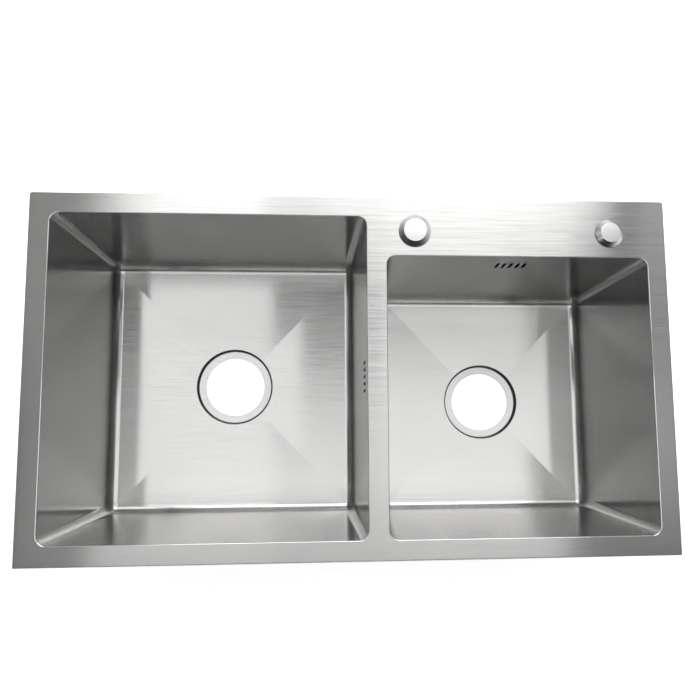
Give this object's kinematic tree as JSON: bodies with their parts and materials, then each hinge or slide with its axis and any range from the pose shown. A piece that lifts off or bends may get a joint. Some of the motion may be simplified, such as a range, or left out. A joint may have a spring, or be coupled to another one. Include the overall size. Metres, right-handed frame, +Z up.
{
  "type": "double bowl kitchen sink",
  "caption": "Drop-in stainless kitchen sink with a large and a smaller square bowl, tap ledge with covered holes, overflows and worktop clips.",
  "frame": {"origin": "centre of the footprint, on the underside of the two drain seats, which are its lowest faces", "axes": "+X along the sink towards the smaller bowl, +Y from the user towards the wall and the tap ledge, +Z up"},
  "size_m": [0.8, 0.45, 0.217],
  "materials": {
    "brushed_stainless": "brushed along the deck, satin in the bowls",
    "polished_chrome": "polished",
    "plain_steel": "plain mill finish",
    "zinc_plated_steel": "bright zinc plating",
    "seal_rubber": "matt closed-cell rubber",
    "pad_rubber": "matt rubber sheet",
    "moulded_plastic": "moulded"
  },
  "bodies": {
    "sink": {"deck_plate": "brushed_stainless", "left_bowl": "brushed_stainless", "right_bowl": "brushed_stainless", "rim_seal": "seal_rubber", "tap_ledge_stiffener": "plain_steel", "bridge_stiffener": "plain_steel", "left_floor_pad": "pad_rubber", "right_floor_pad": "pad_rubber", "left_front_pad": "pad_rubber", "left_end_pad": "pad_rubber", "right_front_pad": "pad_rubber", "right_end_pad": "pad_rubber", "front_rail": "plain_steel", "rear_rail": "plain_steel", "left_rail": "plain_steel", "right_rail": "plain_steel", "left_overflow_gasket": "seal_rubber", "left_overflow_chamber": "moulded_plastic", "left_overflow_studs": "plain_steel", "left_overflow_nuts": "plain_steel", "right_overflow_gasket": "seal_rubber", "right_overflow_chamber": "moulded_plastic", "right_overflow_studs": "plain_steel", "right_overflow_nuts": "plain_steel", "tap_hole_seal": "seal_rubber", "dispenser_hole_seal": "seal_rubber"},
    "clip_1_hanger": {"clip_1_hanger": "zinc_plated_steel"},
    "clip_1_jaw": {"clip_1_jaw": "zinc_plated_steel"},
    "clip_1_screw": {"clip_1_screw": "zinc_plated_steel"},
    "clip_2_hanger": {"clip_2_hanger": "zinc_plated_steel"},
    "clip_2_jaw": {"clip_2_jaw": "zinc_plated_steel"},
    "clip_2_screw": {"clip_2_screw": "zinc_plated_steel"},
    "clip_3_hanger": {"clip_3_hanger": "zinc_plated_steel"},
    "clip_3_jaw": {"clip_3_jaw": "zinc_plated_steel"},
    "clip_3_screw": {"clip_3_screw": "zinc_plated_steel"},
    "clip_4_hanger": {"clip_4_hanger": "zinc_plated_steel"},
    "clip_4_jaw": {"clip_4_jaw": "zinc_plated_steel"},
    "clip_4_screw": {"clip_4_screw": "zinc_plated_steel"},
    "clip_5_hanger": {"clip_5_hanger": "zinc_plated_steel"},
    "clip_5_jaw": {"clip_5_jaw": "zinc_plated_steel"},
    "clip_5_screw": {"clip_5_screw": "zinc_plated_steel"},
    "clip_6_hanger": {"clip_6_hanger": "zinc_plated_steel"},
    "clip_6_jaw": {"clip_6_jaw": "zinc_plated_steel"},
    "clip_6_screw": {"clip_6_screw": "zinc_plated_steel"},
    "clip_7_hanger": {"clip_7_hanger": "zinc_plated_steel"},
    "clip_7_jaw": {"clip_7_jaw": "zinc_plated_steel"},
    "clip_7_screw": {"clip_7_screw": "zinc_plated_steel"},
    "clip_8_hanger": {"clip_8_hanger": "zinc_plated_steel"},
    "clip_8_jaw": {"clip_8_jaw": "zinc_plated_steel"},
    "clip_8_screw": {"clip_8_screw": "zinc_plated_steel"},
    "tap_hole_cap": {"tap_hole_cap": "polished_chrome"},
    "tap_hole_bar": {"tap_hole_bar": "zinc_plated_steel"},
    "tap_hole_nut": {"tap_hole_nut": "zinc_plated_steel"},
    "dispenser_hole_cap": {"dispenser_hole_cap": "polished_chrome"},
    "dispenser_hole_bar": {"dispenser_hole_bar": "zinc_plated_steel"},
    "dispenser_hole_nut": {"dispenser_hole_nut": "zinc_plated_steel"}
  },
  "joints": [
    {"name": "clip_1_slide", "type": "slide", "parent": "sink", "child": "clip_1_hanger", "axis": [1, 0, 0], "range_m": [-0.02, 0.02]},
    {"name": "clip_1_jaw_lift", "type": "slide", "parent": "clip_1_hanger", "child": "clip_1_jaw", "axis": [0, 0, 1], "range_m": [0, 0.024]},
    {"name": "clip_1_turn", "type": "hinge", "parent": "clip_1_jaw", "child": "clip_1_screw", "pos_m": [-0.27, -0.2091, 0.145], "axis": [0, 0, 1], "range_deg": [0, 8640.09]},
    {"name": "clip_2_slide", "type": "slide", "parent": "sink", "child": "clip_2_hanger", "axis": [1, 0, 0], "range_m": [-0.02, 0.02]},
    {"name": "clip_2_jaw_lift", "type": "slide", "parent": "clip_2_hanger", "child": "clip_2_jaw", "axis": [0, 0, 1], "range_m": [0, 0.024]},
    {"name": "clip_2_turn", "type": "hinge", "parent": "clip_2_jaw", "child": "clip_2_screw", "pos_m": [0, -0.2091, 0.145], "axis": [0, 0, 1], "range_deg": [0, 8640.09]},
    {"name": "clip_3_slide", "type": "slide", "parent": "sink", "child": "clip_3_hanger", "axis": [1, 0, 0], "range_m": [-0.02, 0.02]},
    {"name": "clip_3_jaw_lift", "type": "slide", "parent": "clip_3_hanger", "child": "clip_3_jaw", "axis": [0, 0, 1], "range_m": [0, 0.024]},
    {"name": "clip_3_turn", "type": "hinge", "parent": "clip_3_jaw", "child": "clip_3_screw", "pos_m": [0.27, -0.2091, 0.145], "axis": [0, 0, 1], "range_deg": [0, 8640.09]},
    {"name": "clip_4_slide", "type": "slide", "parent": "sink", "child": "clip_4_hanger", "axis": [0, 1, 0], "range_m": [-0.02, 0.02]},
    {"name": "clip_4_jaw_lift", "type": "slide", "parent": "clip_4_hanger", "child": "clip_4_jaw", "axis": [0, 0, 1], "range_m": [0, 0.024]},
    {"name": "clip_4_turn", "type": "hinge", "parent": "clip_4_jaw", "child": "clip_4_screw", "pos_m": [0.3841, 0, 0.145], "axis": [0, 0, 1], "range_deg": [0, 8640.09]},
    {"name": "clip_5_slide", "type": "slide", "parent": "sink", "child": "clip_5_hanger", "axis": [1, 0, 0], "range_m": [-0.02, 0.02]},
    {"name": "clip_5_jaw_lift", "type": "slide", "parent": "clip_5_hanger", "child": "clip_5_jaw", "axis": [0, 0, 1], "range_m": [0, 0.024]},
    {"name": "clip_5_turn", "type": "hinge", "parent": "clip_5_jaw", "child": "clip_5_screw", "pos_m": [0.27, 0.2091, 0.145], "axis": [0, 0, 1], "range_deg": [0, 8640.09]},
    {"name": "clip_6_slide", "type": "slide", "parent": "sink", "child": "clip_6_hanger", "axis": [1, 0, 0], "range_m": [-0.02, 0.02]},
    {"name": "clip_6_jaw_lift", "type": "slide", "parent": "clip_6_hanger", "child": "clip_6_jaw", "axis": [0, 0, 1], "range_m": [0, 0.024]},
    {"name": "clip_6_turn", "type": "hinge", "parent": "clip_6_jaw", "child": "clip_6_screw", "pos_m": [0, 0.2091, 0.145], "axis": [0, 0, 1], "range_deg": [0, 8640.09]},
    {"name": "clip_7_slide", "type": "slide", "parent": "sink", "child": "clip_7_hanger", "axis": [1, 0, 0], "range_m": [-0.02, 0.02]},
    {"name": "clip_7_jaw_lift", "type": "slide", "parent": "clip_7_hanger", "child": "clip_7_jaw", "axis": [0, 0, 1], "range_m": [0, 0.024]},
    {"name": "clip_7_turn", "type": "hinge", "parent": "clip_7_jaw", "child": "clip_7_screw", "pos_m": [-0.27, 0.2091, 0.145], "axis": [0, 0, 1], "range_deg": [0, 8640.09]},
    {"name": "clip_8_slide", "type": "slide", "parent": "sink", "child": "clip_8_hanger", "axis": [0, 1, 0], "range_m": [-0.02, 0.02]},
    {"name": "clip_8_jaw_lift", "type": "slide", "parent": "clip_8_hanger", "child": "clip_8_jaw", "axis": [0, 0, 1], "range_m": [0, 0.024]},
    {"name": "clip_8_turn", "type": "hinge", "parent": "clip_8_jaw", "child": "clip_8_screw", "pos_m": [-0.3841, 0, 0.145], "axis": [0, 0, 1], "range_deg": [0, 8640.09]},
    {"name": "tap_hole_cap_lift", "type": "slide", "parent": "sink", "child": "tap_hole_cap", "axis": [0, 0, 1], "range_m": [0, 0.04]},
    {"name": "tap_hole_bar_drop", "type": "slide", "parent": "sink", "child": "tap_hole_bar", "axis": [0, 0, -1], "range_m": [0, 0.012]},
    {"name": "tap_hole_nut_turn", "type": "hinge", "parent": "tap_hole_bar", "child": "tap_hole_nut", "pos_m": [0.074, 0.1815, 0.2], "axis": [0, 0, -1], "range_deg": [0, 4320.04]},
    {"name": "dispenser_hole_cap_lift", "type": "slide", "parent": "sink", "child": "dispenser_hole_cap", "axis": [0, 0, 1], "range_m": [0, 0.04]},
    {"name": "dispenser_hole_bar_drop", "type": "slide", "parent": "sink", "child": "dispenser_hole_bar", "axis": [0, 0, -1], "range_m": [0, 0.012]},
    {"name": "dispenser_hole_nut_turn", "type": "hinge", "parent": "dispenser_hole_bar", "child": "dispenser_hole_nut", "pos_m": [0.326, 0.1815, 0.2], "axis": [0, 0, -1], "range_deg": [0, 4320.04]}
  ],
  "couplings": [
    {"joint": "clip_1_turn", "follows": "clip_1_jaw_lift", "rad_per_m": 6283.2},
    {"joint": "clip_2_turn", "follows": "clip_2_jaw_lift", "rad_per_m": 6283.2},
    {"joint": "clip_3_turn", "follows": "clip_3_jaw_lift", "rad_per_m": 6283.2},
    {"joint": "clip_4_turn", "follows": "clip_4_jaw_lift", "rad_per_m": 6283.2},
    {"joint": "clip_5_turn", "follows": "clip_5_jaw_lift", "rad_per_m": 6283.2},
    {"joint": "clip_6_turn", "follows": "clip_6_jaw_lift", "rad_per_m": 6283.2},
    {"joint": "clip_7_turn", "follows": "clip_7_jaw_lift", "rad_per_m": 6283.2},
    {"joint": "clip_8_turn", "follows": "clip_8_jaw_lift", "rad_per_m": 6283.2},
    {"joint": "tap_hole_nut_turn", "follows": "tap_hole_bar_drop", "rad_per_m": 6283.2},
    {"joint": "dispenser_hole_nut_turn", "follows": "dispenser_hole_bar_drop", "rad_per_m": 6283.2}
  ]
}
